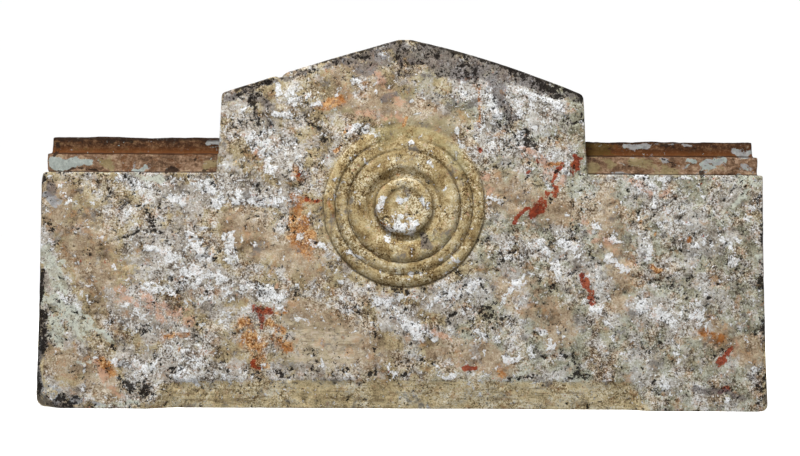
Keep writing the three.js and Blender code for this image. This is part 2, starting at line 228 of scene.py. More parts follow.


# Stains and marks on the face, in millimetres: each stroke's start, end and reach, or each
# round spot's middle and reach
MARKS = {"lime": (
    (-557, 359, -544, 341, 8), (-458, 376, -435, 366, 11), (-346, 375, -305, 355, 13),
    (-371, 345, -363, 339, 8), (-443, 319, 8), (-412, 265, -379, 237, 10), (-371, 248, -330, 224, 11),
    (-346, 281, -322, 249, 13), (-412, 199, -371, 191, 13), (-346, 207, -305, 216, 11),
    (-194, 517, -166, 504, 15), (-166, 512, -141, 504, 11), (-215, 487, -182, 479, 10),
    (-253, 446, -240, 438, 10), (-228, 443, -212, 422, 15), (-228, 422, -218, 392, 13),
    (-304, 339, -199, 340, 13), (110, 542, 8), (141, 519, 149, 498, 11), (146, 498, 161, 481, 7),
    (125, 443, 8), (154, 350, 166, 338, 8), (346, 382, 475, 381, 5), (396, 290, 402, 253, 10),
    (565, 336, 8), (401, 171, 442, 146, 16), (-289, 282, -273, 249, 13), (-256, 200, -215, 192, 15),
    (-235, 179, -194, 179, 10), (-169, 284, -125, 266, 7), (-30, 185, -2, 152, 7), (-2, 152, 28, 119, 8),
    (-30, 185, 18, 183, 8), (-26, 75, -10, 53, 8), (77, 52, 84, 59, 7), (113, 38, 130, 26, 7),
    (425, 39, 438, 23, 10), (506, 51, 7), (-371, 50, -330, 50, 8), (-84, 452, -43, 459, 10),
    (230, 276, 255, 224, 10), (48, 177, 89, 193, 11), (89, 193, 130, 210, 10), (15, 139, 56, 114, 10),
    (163, 169, 182, 210, 7), (182, 210, 199, 220, 7), (-470, 72, -396, 69, 8), (-429, 158, -417, 141, 8),
    (-550, 187, -527, 157, 8), (-494, 131, -471, 112, 7), (89, 456, 100, 423, 7), (228, 129, 241, 104, 8),
    (327, 301, 343, 277, 11), (261, 276, 286, 252, 10), (195, 522, 261, 490, 10), (-92, 570, -67, 554, 8),
    (-84, 537, -48, 518, 10), (-43, 583, -26, 567, 7), (171, 87, 212, 96, 8), (302, 178, 327, 162, 10),
    (475, 179, 491, 146, 10), (516, 278, 540, 245, 10), (343, 244, 368, 220, 10), (130, 128, 163, 112, 10),
    (64, 267, 89, 251, 3), (-92, 258, -67, 239, 7), (-502, 407, -496, 404, 3), (369, 435, 409, 433, 3),
    (409, 437, 475, 437, 2), (429, 405, 438, 407, 3), (488, 388, 501, 389, 5), (455, 397, 465, 402, 2),
    (378, 413, 386, 415, 3), (499, 406, 521, 406, 3), (-38, 347, -34, 327, 7), (-33, 324, -28, 318, 5),
    (-5, 339, 12, 342, 9), (-8, 306, 14, 303, 15), (39, 347, 41, 333, 8), (-25, 295, -15, 288, 8),
    (-28, 275, -5, 272, 7), (11, 218, 38, 223, 5), (-94, 258, -87, 252, 5), (5, 295, 18, 295, 5),
    (64, 246, 84, 259, 3), (110, 341, 113, 333, 3), (-117, 255, -103, 238, 3), (11, 433, 21, 428, 3),
    (-202, 541, -202, 536, 3), (-36, 345, -37, 322, 6), (-20, 301, 15, 293, 7), (0, 318, 8, 308, 8),
), "mint": (
    (-429, 383, -399, 375, 8), (-580, 255, -573, 236, 11), (-557, 236, -550, 198, 11),
    (-580, 195, -576, 182, 10), (-544, 178, -470, 108, 7), (548, 373, 581, 372, 10),
    (565, 360, 544, 331, 7), (573, 250, 593, 250, 7), (-502, 6, -432, 7, 8), (-519, 75, -507, 75, 7),
    (-573, 405, -550, 402, 8), (-537, 403, -517, 400, 10), (-560, 395, -550, 398, 5),
    (-489, 387, -478, 387, 3), (-435, 389, -419, 399, 5), (494, 407, 527, 409, 7), (499, 399, 511, 399, 3),
    (465, 411, 481, 411, 3), (-578, 252, -556, 205, 16), (-560, 180, -520, 130, 22),
    (-570, 160, -565, 110, 14), (-572, 398, -540, 404, 9), (-562, 392, -532, 396, 7),
), "rust": (
    (-130, 498, -97, 504, 10), (-166, 397, -163, 373, 8), (-179, 343, -146, 340, 10),
    (-171, 332, -167, 307, 11), (-179, 300, -172, 274, 13), (-166, 266, -149, 250, 11),
    (-248, 118, -228, 101, 13), (-215, 134, -199, 126, 11), (99, 538, 117, 540, 3),
    (-107, 429, -99, 434, 5), (161, 519, 171, 517, 5), (388, 315, 384, 307, 3), (417, 284, 5),
    (440, 261, 5), (401, 238, 417, 231, 8), (471, 286, 8), (522, 166, 7), (171, 71, 167, 59, 8),
    (184, 276, 8), (491, 127, 516, 119, 8), (-388, 112, -351, 119, 8), (-360, 89, 5), (130, 468, 7),
    (-100, 455, -80, 458, 7), (-10, 390, 5), (-122, 340, -117, 319, 5), (-67, 337, 4), (-100, 430, 3),
    (5, 475, 3, 456, 5), (484, 404, 498, 399, 6), (-30, 301, -16, 293, 4), (-461, 412, -455, 391, 5),
    (-448, 412, -443, 397, 3), (-337, 409, -328, 408, 3), (-379, 421, -305, 421, 7),
    (343, 431, 379, 418, 8), (-258, 128, -230, 75, 20), (-203, 110, -191, 92, 10),
    (-174, 339, -150, 262, 15), (-384, 113, -351, 120, 10), (-494, 76, -474, 56, 12),
    (-140, 500, -100, 506, 10), (171, 60, 160, 75, 8), (505, 112, 515, 120, 9), (-206, 152, -190, 160, 8),
    (120, 520, 130, 470, 5), (240, 395, 290, 400, 9),
), "red": (
    (-156, 340, -140, 340, 5), (282, 413, 292, 408, 8), (281, 398, 282, 387, 7), (218, 401, 5),
    (200, 385, 5), (251, 365, 246, 354, 5), (230, 342, 217, 314, 8), (204, 325, 187, 312, 7),
    (235, 355, 5), (126, 427, 7), (299, 218, 317, 178, 7), (-238, 159, -215, 154, 7),
    (-240, 73, -228, 64, 7), (102, 70, 122, 70, 5), (516, 32, 532, 33, 5),
    (486, 370, 5), (-166, 386, 5), (-240, 162, -216, 156, 9), (-233, 148, -228, 132, 7),
    (282, 412, 292, 402, 9), (228, 345, 216, 312, 9), (300, 216, 316, 180, 9), (534, 100, 514, 78, 7),
    (517, 31, 532, 35, 7), (250, 372, 262, 402, 5),
), "blush": (
    (-243, 430, -251, 405, 7), (133, 378, 146, 361, 10), (379, 372, 406, 354, 11), (425, 351, 438, 363, 8),
    (302, 310, 310, 293, 10), (323, 285, 346, 267, 15), (-182, 225, 10), (-207, 203, 10),
    (545, 111, 537, 84, 8), (511, 64, 519, 58, 8), (-519, 13, -511, 3, 7), (-470, 34, -437, 18, 10),
    (-51, 554, -2, 488, 13), (-76, 488, -2, 472, 13), (-461, 190, -346, 142, 20), (-502, 75, -478, 43, 11),
    (195, 424, 261, 375, 15), (39, 136, 80, 111, 10),
), "dark": (
    (-479, 354, -481, 340, 5), (-433, 327, -419, 324, 5), (-415, 314, -402, 297, 7), (-342, 276, 5),
    (-325, 252, 7), (-323, 232, 5), (-358, 209, -350, 209, 5), (-379, 199, 5), (-592, 260, -594, 100, 7),
    (-593, 329, -568, 288, 7), (-586, 206, -580, 173, 5), (-251, 527, -215, 537, 7),
    (-248, 504, -228, 520, 7), (-240, 500, -238, 467, 5), (-236, 445, 5), (-136, 435, -117, 442, 5),
    (-240, 359, 5), (-232, 344, 7), (220, 539, 253, 526, 8), (245, 514, 264, 510, 8),
    (269, 523, 294, 507, 8), (294, 493, 299, 454, 5), (194, 449, 212, 424, 8), (166, 427, 5),
    (171, 358, 163, 337, 5), (309, 252, 327, 236, 5), (517, 212, 7), (504, 153, 7),
    (580, 344, 594, 278, 10), (590, 240, 599, 40, 11), (-167, 189, -156, 186, 5), (-38, 211, 5),
    (-13, 195, 11, 193, 7), (5, 168, 11, 160, 5), (126, 218, 140, 194, 5), (130, 166, 140, 154, 8),
    (146, 161, 163, 145, 5), (253, 137, 266, 91, 5), (233, 84, 248, 92, 5), (346, 59, 7),
    (409, 39, 417, 23, 7), (-483, 59, 7), (-502, 121, 7), (-453, 51, -437, 38, 10),
    (-420, 51, -412, 26, 10), (-552, 17, -535, 14, 7), (-371, 60, -360, 60, 7), (-478, 103, -465, 95, 7),
    (-248, 55, -199, 56, 5), (-43, 56, 7), (-15, 55, 15, 65, 5), (39, 55, 5), (184, 53, 220, 61, 5),
    (277, 60, 319, 60, 5), (388, 67, 5), (-585, 374, -566, 370, 10), (89, 161, 80, 147, 5),
    (-386, 389, -373, 390, 6), (-327, 393, -323, 391, 4), (-343, 408, 3), (-478, 400, 3),
    (432, 407, 442, 406, 2), (491, 393, 498, 393, 3), (435, 433, 448, 432, 4), (304, 438, 366, 438, 3),
    (-484, 438, -445, 438, 3), (-573, 433, -570, 415, 6), (-560, 387, -488, 386, 3),
    (-25, 316, -18, 298, 5), (-34, 331, -30, 321, 3), (7, 321, 21, 318, 5), (15, 347, 4),
    (85, 448, 97, 445, 5), (197, 440, 212, 427, 7), (171, 432, 182, 437, 3), (-585, 220, -584, 95, 9),
    (-590, 95, -588, 20, 6),
), "soot": (
    (-120, 560, -20, 592, 7), (-20, 592, 60, 588, 14), (60, 580, 160, 556, 18), (160, 552, 290, 512, 14),
    (-290, 512, -120, 562, 5), (572, 50, 600, 10, 14), (-586, 215, -585, 100, 7), (480, 42, 560, 20, 6),
    (-592, 372, -572, 360, 12), (-260, 520, -215, 500, 7), (-66, 560, -8, 577, 20), (-8, 577, 64, 568, 32),
    (64, 561, 150, 545, 27), (154, 519, 176, 473, 11), (38, 288, 41, 270, 10), (-84, 567, -64, 570, 13),
    (-589, 124, -589, 9, 10), (-583, 12, -544, 3, 8), (-26, 332, 3), (-255, 520, -228, 507, 10),
    (-28, 505, -11, 518, 8),
), "bare": (
    (-560, 338, -478, 190, 49), (-560, 83, -478, 43, 33), (-273, 298, -149, 233, 33),
    (-166, 159, -51, 94, 34), (48, 103, 163, 79, 26), (-43, 505, 64, 464, 39), (154, 358, 261, 318, 36),
    (179, 202, 261, 129, 36), (327, 343, 360, 178, 26), (491, 138, 565, 98, 30), (-125, 570, -84, 488, 16),
    (-100, 570, -51, 546, 13),
), "wash": (
    (-429, 368, -314, 339, 30), (-412, 265, -305, 191, 46), (-461, 174, -330, 93, 33),
    (-273, 487, -182, 405, 33), (-281, 364, -182, 340, 26), (105, 522, 236, 482, 36),
    (392, 359, 491, 278, 33), (392, 170, 491, 138, 26), (-248, 195, -199, 175, 20),
    (-26, 176, 39, 119, 23), (48, 177, 122, 210, 20), (-445, 72, -264, 57, 20), (261, 293, 327, 195, 20),
    (130, 456, 261, 400, 20), (-585, 264, -544, 174, 20), (163, 276, 195, 178, 16),
    (-15, 318, 12, 305, 18), (-22, 297, 20, 294, 9), (-36, 345, -36, 318, 7),
), "tooled": (
    (-185, 120, -100, 112, 30), (-185, 85, -90, 75, 24),
), "grey": (
    (552, 429, 570, 424, 9), (562, 401, 574, 393, 8), (-320, 438, -300, 438, 9), (371, 435, 409, 433, 7),
    (566, 377, 583, 377, 5), (-594, 128, -586, 40, 9), (-590, 40, -562, 18, 16), (-550, 14, -480, 8, 7),
    (-586, 352, -560, 340, 10), (-594, 260, -594, 130, 5),
), "moss": (
    (304, 424, 330, 426, 20), (307, 395, 320, 395, 11), (333, 405, 346, 395, 7),
    (-320, 400, -304, 400, 11), (383, 404, 406, 402, 10), (429, 396, 442, 392, 10),
    (-494, 404, -475, 394, 7), (-34, 455, 64, 464, 23), (64, 440, 100, 391, 16), (31, 288, 64, 275, 13),
    (5, 518, 48, 538, 15), (-117, 496, -92, 485, 10),
)}

# Narrow cracks in the face, given in the same way
CRACKS = (
    (-494, 266, -450, 279, 1.6), (-450, 279, -424, 292, 1.6), (-43, 148, -43, 56, 2.2),
    (277, 359, 277, 277, 2.0), (396, 303, 417, 327, 1.6), (417, 327, 445, 346, 1.6),
    (-539, 165, -511, 138, 1.6), (220, 156, 243, 142, 2.0), (266, 137, 282, 83, 2.2),
    (274, 467, 297, 474, 1.6), (-179, 474, -153, 481, 1.4),
)


def marks_at(points, marks):
    """How strongly the brush marks cover each point of the face, from 0 to 1."""
    total = np.zeros(len(points))
    for *ends, reach in marks:
        start = np.array(ends[:2]) * MM
        along = (np.array(ends[-2:]) - ends[:2]) * MM
        length = max(float(along @ along), MM * MM)
        part = np.clip((points - start) @ along / length, 0, 1)
        distance = np.linalg.norm(points - start - part[:, None] * along, axis=1)
        total = np.maximum(total, 1 - smooth(distance, 0.25 * reach * MM, 1.25 * reach * MM))
    return total


def even_lines(marks):
    """Lines through every mark, and at about each mark's own step up to the next mark."""
    marks = sorted(marks)
    lines = []
    for (low, step), (high, _) in zip(marks, marks[1:]):
        count = max(1, round((high - low) / step))
        lines += list(np.linspace(low, high, count, endpoint=False))
    return np.array([*lines, marks[-1][0]])


def width_lines():
    """Grid lines across the width: the ends, the ends of the courses and both cheeks."""
    outer = [SHOULDER_HALF, SHOULDER_HALF - ARRIS_STEPS[0], *COURSE_HALVES, CHEEK_FOOT]
    outer += [CHEEK_FOOT - inset for inset in ARRIS_STEPS]
    marks = [(side * x, WING_STEP) for side in (-1, 1) for x in outer]
    marks += [(ROUNDEL_X - FINE_HALF, ROUNDEL_STEP), (ROUNDEL_X + FINE_HALF, WING_STEP)]
    return even_lines(marks)


def height_lines():
    """Grid lines up the height: the foot, the face's top, both courses and the gable's foot."""
    marks = [(0, WING_STEP), *((inset, WING_STEP) for inset in ARRIS_STEPS), (FINE_FOOT, ROUNDEL_STEP)]
    for top in (FACE_HEIGHT, LOWER_TOP, UPPER_TOP):
        marks += [(top - inset, ROUNDEL_STEP) for inset in ARRIS_STEPS[:2]] + [(top, ROUNDEL_STEP)]
    marks[-1] = (UPPER_TOP, GABLE_STEP)
    return even_lines([*marks, *((EAVES_Z - inset, GABLE_STEP) for inset in (*ARRIS_STEPS[:2], 0))])


def depth_lines():
    """Grid lines from the face to the back, closest behind the face and the courses."""
    lines = {0.0, *ARRIS_STEPS, COURSE_SETBACK, 2 * COURSE_SETBACK, *DEPTH_LINES, STONE_DEPTH}
    lines |= {COURSE_SETBACK + ARRIS_STEPS[0], 2 * COURSE_SETBACK + ARRIS_STEPS[0]}
    return np.array(sorted(lines))


def stone_cells(across, deep, up):
    """Which cells of the grid hold stone: the slab, the centre block and the two courses."""
    x = np.abs((across[1:] + across[:-1]) / 2)[:, None, None]
    y = ((deep[1:] + deep[:-1]) / 2)[None, :, None]
    z = ((up[1:] + up[:-1]) / 2)[None, None, :]
    cells = (z < FACE_HEIGHT) | (x < CHEEK_FOOT)
    for order, (half, top) in enumerate(zip(COURSE_HALVES, (LOWER_TOP, UPPER_TOP)), start=1):
        cells = cells | ((z < top) & (x < half) & (y > order * COURSE_SETBACK))
    return cells


def side_quads(cells):
    """The outer sides of the cells as four grid places each, apart from the back, which is wider."""
    quads = []
    padded = np.pad(cells, 1).astype(np.int8)
    for axis in range(3):
        others = [other for other in range(3) if other != axis]
        change = np.diff(padded, axis=axis)
        for sign in (1, -1):
            place = np.argwhere(change == sign)
            place[:, others] -= 1
            if axis == 1 and sign < 0:
                place = place[place[:, 1] < cells.shape[1]]
            corners = [(0, 0), (1, 0), (1, 1), (0, 1)]
            if (sign > 0) != (axis == 1):
                corners.reverse()
            quad = np.repeat(place[:, None, :], 4, axis=1)
            for turn, (first, second) in enumerate(corners):
                quad[:, turn, others[0]] += first
                quad[:, turn, others[1]] += second
            quads.append(quad)
    return np.concatenate(quads)


def wide_lines(lines, marks):
    """Numbers of the grid lines that the back keeps: the marks, and one every so often between them."""
    chosen = sorted({0, len(lines) - 1, *(int(np.argmin(np.abs(lines - mark))) for mark in marks)})
    kept = set(chosen)
    for low, high in zip(chosen, chosen[1:]):
        count = max(1, round((lines[high] - lines[low]) / BACK_STEP))
        kept.update(low + round((high - low) * part / count) for part in range(1, count))
    return sorted(kept)


def back_faces(cells, across, up):
    """Covers the back with wide faces, whose outer sides keep every fine place of the outline."""
    x_marks = [side * x for side in (-1, 1) for x in (*COURSE_HALVES, CHEEK_FOOT)]
    columns = wide_lines(across, x_marks)
    rows = wide_lines(up, (FACE_HEIGHT, LOWER_TOP, UPPER_TOP))
    held = cells[:, -1, :]
    wide = np.pad(held[np.ix_(columns[:-1], rows[:-1])], 1)
    faces = []
    for c, (left, right) in enumerate(zip(columns, columns[1:]), start=1):
        for r, (low, high) in enumerate(zip(rows, rows[1:]), start=1):
            if not wide[c, r]:
                continue
            top = range(left, right) if not wide[c, r + 1] else [left]
            end = range(high, low, -1) if not wide[c + 1, r] else [high]
            foot = range(right, left, -1) if not wide[c, r - 1] else [right]
            start = range(low, high) if not wide[c - 1, r] else [low]
            places = [(x, high) for x in top] + [(right, z) for z in end]
            places += [(x, low) for x in foot] + [(left, z) for z in start]
            faces.append([(x, cells.shape[1], z) for x, z in places])
    return faces


def end_half(height):
    """Half the stone's width at a height: the ends lean in, are hollow, and round in at the foot."""
    part = np.clip(height / FACE_HEIGHT, 0, 1)
    half = HALF_WIDTH - END_LEAN * part - 4 * END_HOLLOW * part * (1 - part)
    foot = np.clip(1 - height / FOOT_WEAR, 0, 1)
    return half - FOOT_WEAR * (1 - np.sqrt(1 - foot * foot))


def gable_height(x):
    """Height of the gable's slopes, without the worn corners and the chip."""
    right = x > RIDGE_X
    top = np.where(right, RIDGE_X + RIDGE_FLAT / 2, RIDGE_X - RIDGE_FLAT / 2)
    foot = np.where(right, 1, -1) * (EAVES_HALF - EAVES_WEAR)
    down = np.clip((x - top) / (foot - top), 0, 1)
    crown = np.where(right, RIGHT_CROWN, LEFT_CROWN)
    return RIDGE_Z - GABLE_RISE * down + 4 * crown * down * (1 - down)


def place_outline(x, depth, z):
    """Moves the grid to the stone's outline: leaning ends and cheeks, worn corners, slopes and the chip."""
    side = np.sign(x)
    reach = np.abs(x)
    near_end = np.clip((reach - LEAN_FROM) / (SHOULDER_HALF - LEAN_FROM), 0, 1)
    worn = np.clip((z - FACE_HEIGHT + SHOULDER_WEAR) / SHOULDER_WEAR, 0, 1) * (z <= FACE_HEIGHT)
    shoulder = 0.9 * COURSE_RETURN * (1 - np.sqrt(1 - worn)) ** 2 * (x < 0)
    new_x = x + side * near_end * (end_half(z) - SHOULDER_HALF - shoulder)
    above = np.clip((z - FACE_HEIGHT) / (EAVES_Z - FACE_HEIGHT), 0, 1)
    in_gable = np.clip((z - UPPER_TOP) / (EAVES_Z - UPPER_TOP), 0, 1)
    beside = np.clip(1 - (reach - CHEEK_FOOT) / CHEEK_BLEND, 0, 1)
    by_cheek = np.where(reach <= CHEEK_FOOT, reach / CHEEK_FOOT, beside)
    new_x = new_x - side * CHEEK_LEAN * above * by_cheek
    in_block = reach <= CHEEK_FOOT + MM * MM
    up_courses = np.clip((z - FACE_HEIGHT) / (UPPER_TOP - FACE_HEIGHT), 0, 1)
    lift = np.where(x < 0, LEFT_LIFT, RIGHT_LIFT) * up_courses
    rise = np.where(in_block, (gable_height(new_x) - EAVES_Z) * in_gable, lift)
    near_top = smooth(z, EAVES_Z - TOP_WEAR_REACH, EAVES_Z)
    corner = np.clip((np.abs(new_x) - EAVES_HALF + EAVES_WEAR) / EAVES_WEAR, 0, 1)
    rise -= np.where(in_block, EAVES_WEAR * (1 - np.sqrt(1 - corner * corner)) * near_top, 0)
    chip = np.clip(1 - np.abs(new_x - NOTCH_X) / (NOTCH_WIDTH / 2), 0, 1)
    rise -= NOTCH_DEPTH * chip * np.clip(1 - depth / NOTCH_REACH, 0, 1) * near_top
    return new_x, z + rise


def arch(radius, inner, crest, outer, foot_in, lift, foot_out):
    """Height of a rounded band over a foot at each side of its crest."""
    half = np.where(radius < crest, crest - inner, outer - crest)
    foot = np.where(radius < crest, foot_in, foot_out)
    part = np.clip(np.abs(radius - crest) / half, 0, 1)
    height = foot + (lift - foot) * np.sqrt(1 - part * part)
    return np.where((radius >= inner) & (radius <= outer), height, 0)


def roundel_height(x, z):
    """Height of the roundel above the face: dish, rim, groove, band and two rings, worn at the top."""
    across = (x - ROUNDEL_X) * ROUNDEL_RADIUS / RADIUS_ACROSS
    upward = (z - ROUNDEL_Z) * ROUNDEL_RADIUS / RADIUS_UPWARD
    radius = np.hypot(across, upward) / MM
    height = np.where(radius < DISH_RADIUS, 4.0 + 1.5 * (radius / DISH_RADIUS) ** 2, 0)
    for band in BANDS:
        height += arch(radius, *band)
    start, end = GROOVE
    hollow = 1 - 4 * np.sin(np.pi * (radius - start) / (end - start))
    height += np.where((radius > start) & (radius < end), hollow, 0)
    sunk = ROUNDEL_SINK * (ROUNDEL_FADE - radius) / (ROUNDEL_FADE - ROUNDEL_RADIUS)
    height += np.where((radius > ROUNDEL_RADIUS) & (radius < ROUNDEL_FADE), sunk, 0)
    limit = 0.5 + 8.5 * np.clip((ROUNDEL_Z + WORN_TOP - z) / WORN_REACH, 0, 1) ** 0.8
    ragged = 1.2 * value_noise(np.stack([x, z], axis=1), 0.018, 61)
    limit += ragged * np.clip((z - ROUNDEL_Z) / 0.05, 0, 1)
    worn = limit - np.log1p(np.exp(np.clip((limit - height) / 0.5, -40, 40))) * 0.5
    return np.where(radius < ROUNDEL_FADE, worn, 0) * MM, radius


def break_depth(x, z):
    """Depth of the stopped chamfer and of the broken corners behind the face."""
    end = end_half(z)
    stop = np.maximum(0, np.abs(x) - (CHAMFER_HALF - CHAMFER_STOP)) / CHAMFER_STOP
    depth = CHAMFER_DEPTH * (1 - z / CHAMFER_HEIGHT - stop)
    for side, wide, deep, high in BROKEN_CORNERS:
        from_end = (end - side * x) / MM
        depth = np.maximum(depth, deep * MM * (1 - from_end / wide - z / MM / high))
    return np.maximum(depth, 0)


def crack_depth(face):
    """How strongly the narrow cracks show at each point of the face, from 0 to 1."""
    wander = 2.5 * MM * value_noise(face, 0.02, 91)
    marks = [(*ends, 1.7 * width) for *ends, width in CRACKS]
    return marks_at(face + wander[:, None], marks)


def pits_at(points, pitted, extra):
    """How strongly each point lies in a pit, from 0 to 1, and how deep it is there in millimetres."""
    pits = np.zeros(len(points))
    hollow = np.zeros(len(points))
    for size, share, deep, seed in PITS:
        distance, own = nearest_cell(points, size, seed)
        wide = size * (0.16 + 0.24 * noise_hash((own * 1e6).astype(int)[:, None], seed))
        bowl = np.where(own < share * pitted + extra, np.clip(1 - (distance / wide) ** 2, 0, 1), 0)
        pits = np.maximum(pits, bowl * (1 if size < BROAD_PIT else 0.5))
        hollow += deep * bowl
    return pits, hollow


def face_relief(x, z):
    """Depth behind the plain face at each point, and the masks that the materials use there."""
    face = np.stack([x, z], axis=1)
    warped = face.copy()
    for size, push, seed in WARPS:
        shift = np.stack([value_noise(face, size, seed), value_noise(face, size, seed + 1)], axis=1)
        warped += shift * push * MM
    height, radius = roundel_height(x, z)
    broken = break_depth(x, z)
    on_roundel = 1 - smooth(radius, *ROUNDEL_EDGE)
    in_chamfer = smooth(broken, 0, 2 * MM)

    masks = {name: marks_at(warped, marks) for name, marks in MARKS.items()}
    crust = rough_noise(face, 0.05, 5, 21, 0.62) * 1.6 + 0.15
    crust = smooth(crust + 0.6 * masks["lime"] - 0.55 * on_roundel - 0.35 * in_chamfer, -0.08, 0.1)

    rough_ground = smooth(rough_noise(face, 0.12, 2, 31), -0.35, 0.3)
    pitted = (0.35 + 0.9 * rough_ground) * (1 - 0.55 * on_roundel)
    pits, hollow = pits_at(warped, pitted, 0.5 * masks["dark"])
    cracks = crack_depth(face)

    low = rough_noise(face, 0.16, 2, 51) * 1.6
    middle = rough_noise(face, 0.034, 3, 54) * 1.3
    fine = rough_noise(face, 0.009, 2, 57) * 0.5
    calm = 1 - 0.45 * on_roundel
    uneven = low * (1 - on_roundel) + (middle + fine) * calm - 1.1 * crust + hollow * calm
    depth = broken - height + uneven * MM + cracks * 1.8 * MM
    below = np.where(np.abs(x) < CHEEK_FOOT, gable_height(x) - z, 1)
    masks["slope"] = 1 - smooth(below, 2 * MM, 8 * MM)
    masks["dirt"] = np.clip(np.maximum(pits * 0.9, cracks), 0, 1)
    masks["roundel"] = on_roundel
    masks["chamfer"] = in_chamfer
    return depth, masks


def soften(positions, edges, strength, rounds):
    """Wears points towards the middle of their neighbours, each by its own strength."""
    count = np.maximum(np.bincount(edges.ravel(), minlength=len(positions)), 1)[:, None]
    for _ in range(rounds):
        total = np.zeros_like(positions)
        for axis in range(3):
            total[:, axis] += np.bincount(edges[:, 0], positions[edges[:, 1], axis], len(positions))
            total[:, axis] += np.bincount(edges[:, 1], positions[edges[:, 0], axis], len(positions))
        positions = positions + strength[:, None] * (total / count - positions)
    return positions


def surface_normals(positions, quads):
    """Outward direction at each point, from the quads around it."""
    first, second, third, fourth = (positions[quads[:, turn]] for turn in range(4))
    cross = np.cross(third - first, fourth - second)
    total = np.zeros_like(positions)
    for turn in range(4):
        for axis in range(3):
            total[:, axis] += np.bincount(quads[:, turn], cross[:, axis], len(positions))
    length = np.linalg.norm(total, axis=1, keepdims=True)
    return total / np.maximum(length, 1e-12)


def number_points(quads, wide, shape):
    """Numbers the points in use: the small and wide faces by those numbers, and each point's grid place."""
    flat_quads = np.ravel_multi_index(tuple(np.moveaxis(quads, -1, 0)), shape)
    flat_wide = [[int(np.ravel_multi_index(place, shape)) for place in face] for face in wide]
    used, quad_ids = np.unique(flat_quads, return_inverse=True)
    extra = sorted({place for face in flat_wide for place in face} - set(used.tolist()))
    ids = {place: number for number, place in enumerate([*used.tolist(), *extra])}
    wide_ids = [[ids[place] for place in face] for face in flat_wide]
    return quad_ids.reshape(-1, 4), wide_ids, np.array([*used, *extra])


def place_points(grid_x, depth, grid_z):
    """The points before wear, which of them are on the courses, and the masks of the materials."""
    x, z = place_outline(grid_x, depth, grid_z)
    on_shoulder = (np.abs(grid_x) > CHEEK_FOOT + MM * MM) & (grid_z > FACE_HEIGHT - MM * MM)
    course = on_shoulder & (depth > COURSE_SETBACK / 2)
    relief, masks = face_relief(x, z)
    second = depth > 1.5 * COURSE_SETBACK
    part = np.where(second, (grid_z - LOWER_TOP) / UPPER_COURSE, (grid_z - FACE_HEIGHT) / LOWER_COURSE)
    lean = COURSE_BATTER * np.clip(part, 0, 1) * (1 - smooth(depth, *LEAN_FADE))
    y = FACE_Y + depth + np.where(course, lean, relief * np.clip(1 - depth / RELIEF_DEPTH, 0, 1))
    return np.stack([x, y, z], axis=1), course, masks


def weather(positions, depth, quads, facing):
    """Wears the arrises unevenly, and roughens all that lies behind the face."""
    seen = np.zeros((len(positions), 3), dtype=bool)
    for axis in range(3):
        seen[quads[facing == axis].ravel(), axis] = True
    arris = (seen.sum(axis=1) > 1).astype(float)
    pairs = np.concatenate([quads[:, [turn, (turn + 1) % 4]] for turn in range(4)])
    edges = np.unique(np.sort(pairs, axis=1), axis=0)
    spread = arris
    for _ in range(2):
        reach = spread.copy()
        for here, there in ((0, 1), (1, 0)):
            np.maximum.at(reach, edges[:, here], 0.6 * spread[edges[:, there]])
        spread = reach
    wear = 0.35 + 0.65 * smooth(rough_noise(positions, 0.03, 3, 71), -0.25, 0.35)
    fixed = (positions[:, 1] > BACK_Y - MM) | (positions[:, 2] < 0.2 * MM)
    positions = soften(positions, edges, np.where(fixed, 0, 0.75 * spread * wear), WEAR_ROUNDS)

    bumps = 2.2 * rough_noise(positions, 0.06, 3, 74) + 1.3 * rough_noise(positions, 0.016, 3, 77) - 1.5
    shift = np.where(fixed, 0, bumps * MM * np.maximum(smooth(depth, 0.0, 0.012), 0.25 * arris))
    positions += surface_normals(positions, quads) * shift[:, None]
    positions[:, 2] = np.maximum(positions[:, 2], 0)
    return positions


def add_mesh(name, positions, faces, chosen, materials, masks):
    """Makes an object from points and faces, with its materials and its masks."""
    mesh = bpy.data.meshes.new(name)
    mesh.from_pydata(positions.tolist(), [], faces)
    for material in materials:
        mesh.materials.append(material)
    mesh.polygons.foreach_set("material_index", chosen.astype(np.int32))
    mesh.polygons.foreach_set("use_smooth", np.ones(len(faces), dtype=bool))
    for mask, values in masks.items():
        layer = mesh.attributes.new(mask, "FLOAT", "POINT")
        layer.data.foreach_set("value", values.astype(np.float32))
    mesh.update()
    mesh.validate()
    thing = bpy.data.objects.new(name, mesh)
    bpy.context.scene.collection.objects.link(thing)
    return thing


def build_stone(materials):
    """Makes the whole stone as one closed mesh: its face, its courses and its rough sides."""
    across, deep, up = width_lines(), depth_lines(), height_lines()
    shape = (len(across), len(deep), len(up))
    cells = stone_cells(across, deep, up)
    quads = side_quads(cells)
    quad_ids, wide_ids, places = number_points(quads, back_faces(cells, across, up), shape)
    i, j, k = np.unravel_index(places, shape)
    depth = deep[j]
    positions, course, masks = place_points(across[i], depth, up[k])
    facing = np.argmin(np.ptp(quads, axis=1), axis=1)
    positions = weather(positions, depth, quad_ids, facing)

    face, on_courses, rough = range(3)
    quad_depth = depth[quad_ids].mean(axis=1)
    on_course = course[quad_ids].sum(axis=1) >= 3
    chosen = np.where(on_course & (quad_depth < COURSE_COLOR_DEPTH), on_courses, rough)
    chosen = np.where(~on_course & (quad_depth < 2 * MM), face, chosen)
    chosen = np.concatenate([chosen, np.full(len(wide_ids), rough)])
    return add_mesh("hood_stone", positions, quad_ids.tolist() + wide_ids, chosen, materials, masks)


def linear(red, green, blue):
    """A colour given as it looks on screen, from 0 to 255, as the shader wants it."""
    parts = [part / 255 for part in (red, green, blue)]
    return tuple(p / 12.92 if p <= 0.04045 else ((p + 0.055) / 1.055) ** 2.4 for p in parts) + (1.0,)


